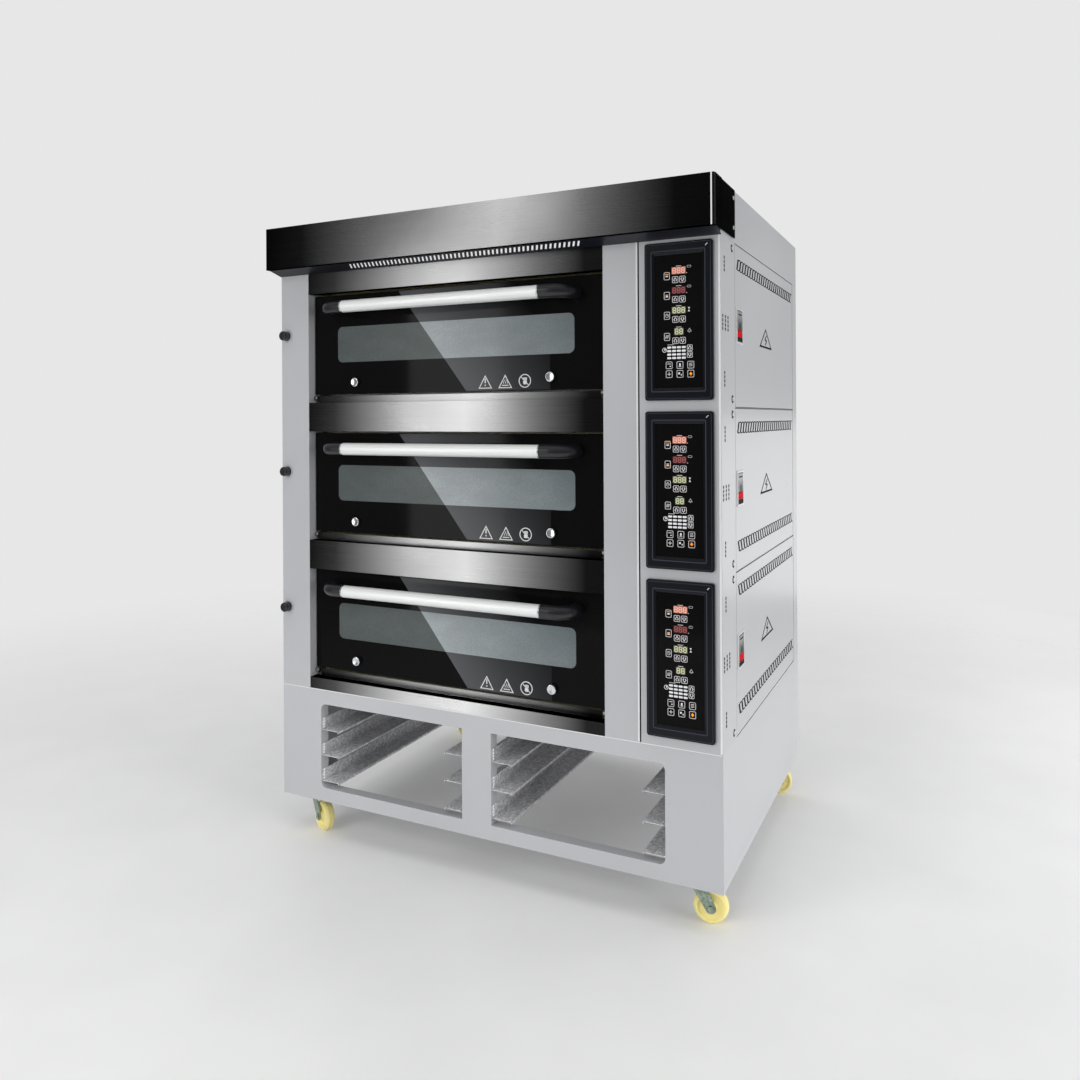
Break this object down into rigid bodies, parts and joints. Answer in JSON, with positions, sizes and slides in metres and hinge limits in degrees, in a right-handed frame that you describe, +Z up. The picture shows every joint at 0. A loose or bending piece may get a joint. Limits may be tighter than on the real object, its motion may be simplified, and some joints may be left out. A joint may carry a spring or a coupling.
{
  "type": "deck oven",
  "caption": "Electric bakery oven with stacked baking decks, bottom-hinged glass doors, a side control column, a canopy hood and a castered tray stand.",
  "frame": {"origin": "on the floor, under the centre of the bounding box", "axes": "+X to the user's right, doors face -Y, +Z up"},
  "size_m": [1.2612, 1, 1.675],
  "materials": {
    "body_paint": "satin",
    "stand_paint": "satin",
    "fascia_steel": "satin",
    "canopy_steel": "gloss",
    "grille_steel": "satin",
    "galvanised": "matte",
    "zinc": "satin",
    "wheel": "satin",
    "steel_inner": "matte",
    "shelf_steel": "matte",
    "hearth_stone": "matte",
    "element": "matte",
    "wool": "matte",
    "screw": "polished",
    "flue": "satin",
    "gland": "matte",
    "bezel": "gloss",
    "panel_glass": "gloss",
    "board": "satin",
    "door_glass": "gloss",
    "door_pan": "satin",
    "handle_tube": "satin",
    "fittings": "gloss",
    "knob": "gloss",
    "lock_case": "satin",
    "lock_paddle": "satin",
    "lock_button": "gloss"
  },
  "bodies": {
    "root": {"stand_front_frame": "stand_paint", "stand_rear_frame": "stand_paint", "stand_side_panels": "stand_paint", "tray_runners": "galvanised", "caster_plates": "zinc", "left_column": "body_paint", "right_pilaster": "body_paint", "control_column": "body_paint", "left_side_panel": "body_paint", "rear_panel": "body_paint", "flue_spigots": "flue", "cable_gland": "gland", "deck_shelves": "shelf_steel", "top_cover": "body_paint", "canopy": "canopy_steel", "canopy_grille": "grille_steel", "front_fascias": "fascia_steel", "panel_screws": "screw", "baking_chambers": "steel_inner", "hearth_plates": "hearth_stone", "heating_elements": "element", "insulation": "wool", "control_bezels": "bezel", "control_glasses": "panel_glass", "control_boards": "board"},
    "door_bottom": {"door_glass_bottom": "door_glass", "door_frame_bottom": "door_pan", "door_handle_bottom": "handle_tube", "door_fittings_bottom": "fittings"},
    "door_middle": {"door_glass_middle": "door_glass", "door_frame_middle": "door_pan", "door_handle_middle": "handle_tube", "door_fittings_middle": "fittings"},
    "door_top": {"door_glass_top": "door_glass", "door_frame_top": "door_pan", "door_handle_top": "handle_tube", "door_fittings_top": "fittings"},
    "service_door_bottom": {"service_door_bottom": "body_paint", "lock_housing_bottom": "lock_case"},
    "lock_paddle_bottom": {"lock_paddle_bottom": "lock_paddle"},
    "lock_button_bottom": {"lock_button_bottom": "lock_button"},
    "service_door_middle": {"service_door_middle": "body_paint", "lock_housing_middle": "lock_case"},
    "lock_paddle_middle": {"lock_paddle_middle": "lock_paddle"},
    "lock_button_middle": {"lock_button_middle": "lock_button"},
    "service_door_top": {"service_door_top": "body_paint", "lock_housing_top": "lock_case"},
    "lock_paddle_top": {"lock_paddle_top": "lock_paddle"},
    "lock_button_top": {"lock_button_top": "lock_button"},
    "damper_bottom": {"damper_bottom": "knob"},
    "damper_middle": {"damper_middle": "knob"},
    "damper_top": {"damper_top": "knob"},
    "caster_fork_front_left": {"caster_fork_front_left": "zinc"},
    "caster_wheel_front_left": {"caster_wheel_front_left": "wheel"},
    "caster_fork_front_right": {"caster_fork_front_right": "zinc"},
    "caster_wheel_front_right": {"caster_wheel_front_right": "wheel"},
    "caster_fork_rear_left": {"caster_fork_rear_left": "zinc"},
    "caster_wheel_rear_left": {"caster_wheel_rear_left": "wheel"},
    "caster_fork_rear_right": {"caster_fork_rear_right": "zinc"},
    "caster_wheel_rear_right": {"caster_wheel_rear_right": "wheel"}
  },
  "joints": [
    {"name": "door_bottom_hinge", "type": "hinge", "parent": "root", "child": "door_bottom", "pos_m": [-0.091, -0.414, 0.455], "axis": [1, 0, 0], "range_deg": [0, 90]},
    {"name": "door_middle_hinge", "type": "hinge", "parent": "root", "child": "door_middle", "pos_m": [-0.091, -0.414, 0.833], "axis": [1, 0, 0], "range_deg": [0, 90]},
    {"name": "door_top_hinge", "type": "hinge", "parent": "root", "child": "door_top", "pos_m": [-0.091, -0.414, 1.211], "axis": [1, 0, 0], "range_deg": [0, 90]},
    {"name": "service_door_bottom_hinge", "type": "hinge", "parent": "root", "child": "service_door_bottom", "pos_m": [0.62, 0.391, 0.60217], "axis": [0, 0, 1], "range_deg": [0, 110]},
    {"name": "lock_paddle_bottom_hinge", "type": "hinge", "parent": "service_door_bottom", "child": "lock_paddle_bottom", "pos_m": [0.624, -0.273, 0.637], "axis": [0, -1, 0], "range_deg": [0, 35]},
    {"name": "lock_button_bottom_slide", "type": "slide", "parent": "service_door_bottom", "child": "lock_button_bottom", "axis": [-1, 0, 0], "range_m": [0, 0.004], "stiffness_N_per_m": 300, "springref_m": -0.002},
    {"name": "service_door_middle_hinge", "type": "hinge", "parent": "root", "child": "service_door_middle", "pos_m": [0.62, 0.391, 0.983], "axis": [0, 0, 1], "range_deg": [0, 110]},
    {"name": "lock_paddle_middle_hinge", "type": "hinge", "parent": "service_door_middle", "child": "lock_paddle_middle", "pos_m": [0.624, -0.273, 1.01733], "axis": [0, -1, 0], "range_deg": [0, 35]},
    {"name": "lock_button_middle_slide", "type": "slide", "parent": "service_door_middle", "child": "lock_button_middle", "axis": [-1, 0, 0], "range_m": [0, 0.004], "stiffness_N_per_m": 300, "springref_m": -0.002},
    {"name": "service_door_top_hinge", "type": "hinge", "parent": "root", "child": "service_door_top", "pos_m": [0.62, 0.391, 1.36383], "axis": [0, 0, 1], "range_deg": [0, 110]},
    {"name": "lock_paddle_top_hinge", "type": "hinge", "parent": "service_door_top", "child": "lock_paddle_top", "pos_m": [0.624, -0.273, 1.39867], "axis": [0, -1, 0], "range_deg": [0, 35]},
    {"name": "lock_button_top_slide", "type": "slide", "parent": "service_door_top", "child": "lock_button_top", "axis": [-1, 0, 0], "range_m": [0, 0.004], "stiffness_N_per_m": 300, "springref_m": -0.002},
    {"name": "damper_bottom_slide", "type": "slide", "parent": "root", "child": "damper_bottom", "axis": [0, -1, 0], "range_m": [0, 0.04]},
    {"name": "damper_middle_slide", "type": "slide", "parent": "root", "child": "damper_middle", "axis": [0, -1, 0], "range_m": [0, 0.04]},
    {"name": "damper_top_slide", "type": "slide", "parent": "root", "child": "damper_top", "axis": [0, -1, 0], "range_m": [0, 0.04]},
    {"name": "caster_front_left_swivel", "type": "hinge", "parent": "root", "child": "caster_fork_front_left", "pos_m": [-0.55, -0.375, 0.09], "axis": [0, 0, 1], "continuous": true},
    {"name": "caster_front_left_wheel", "type": "hinge", "parent": "caster_fork_front_left", "child": "caster_wheel_front_left", "pos_m": [-0.52483, -0.38727, 0.04], "axis": [0.4384, 0.8988, 0], "continuous": true},
    {"name": "caster_front_right_swivel", "type": "hinge", "parent": "root", "child": "caster_fork_front_right", "pos_m": [0.55, -0.375, 0.09], "axis": [0, 0, 1], "continuous": true},
    {"name": "caster_front_right_wheel", "type": "hinge", "parent": "caster_fork_front_right", "child": "caster_wheel_front_right", "pos_m": [0.57739, -0.36918, 0.04], "axis": [-0.2079, 0.9781, 0], "continuous": true},
    {"name": "caster_rear_left_swivel", "type": "hinge", "parent": "root", "child": "caster_fork_rear_left", "pos_m": [-0.55, 0.395, 0.09], "axis": [0, 0, 1], "continuous": true},
    {"name": "caster_rear_left_wheel", "type": "hinge", "parent": "caster_fork_rear_left", "child": "caster_wheel_rear_left", "pos_m": [-0.52227, 0.3911, 0.04], "axis": [0.1392, 0.9903, 0], "continuous": true},
    {"name": "caster_rear_right_swivel", "type": "hinge", "parent": "root", "child": "caster_fork_rear_right", "pos_m": [0.55, 0.395, 0.09], "axis": [0, 0, 1], "continuous": true},
    {"name": "caster_rear_right_wheel", "type": "hinge", "parent": "caster_fork_rear_right", "child": "caster_wheel_rear_right", "pos_m": [0.57631, 0.40458, 0.04], "axis": [-0.342, 0.9397, 0], "continuous": true}
  ]
}
